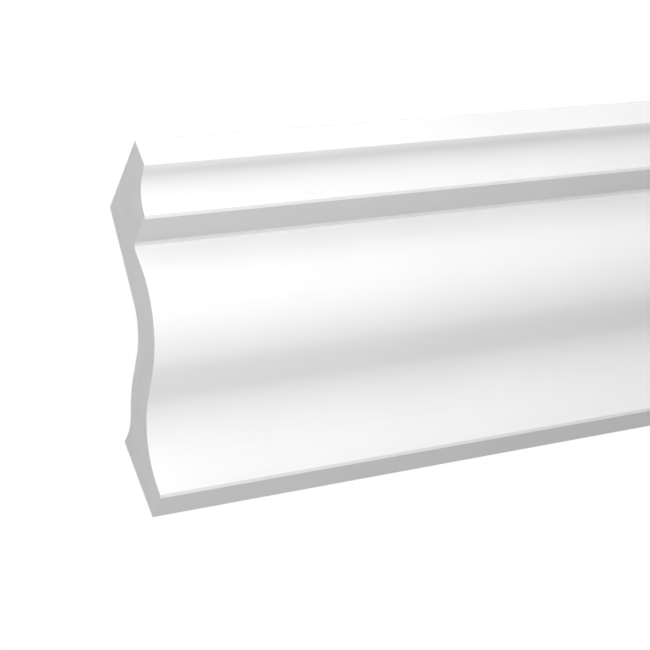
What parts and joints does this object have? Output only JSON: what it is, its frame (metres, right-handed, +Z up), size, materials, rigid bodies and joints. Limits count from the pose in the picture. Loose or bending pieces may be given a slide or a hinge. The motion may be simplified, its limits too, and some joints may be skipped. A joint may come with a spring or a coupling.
{
  "type": "crown moulding length",
  "caption": "Length of crown moulding with a cove over a cyma reversa, hollow behind, bedded on a wall and a ceiling; square-cut ends.",
  "frame": {"origin": "middle of the face that beds on the wall", "axes": "+X along the length, +Y into the wall, +Z up to the ceiling; the moulded face looks towards -Y and down"},
  "size_m": [1, 0.1204, 0.12],
  "materials": {
    "white_primer": "smooth matt white primer on rigid moulded foam"
  },
  "bodies": {
    "root": {"crown_moulding": "white_primer"}
  },
  "joints": []
}
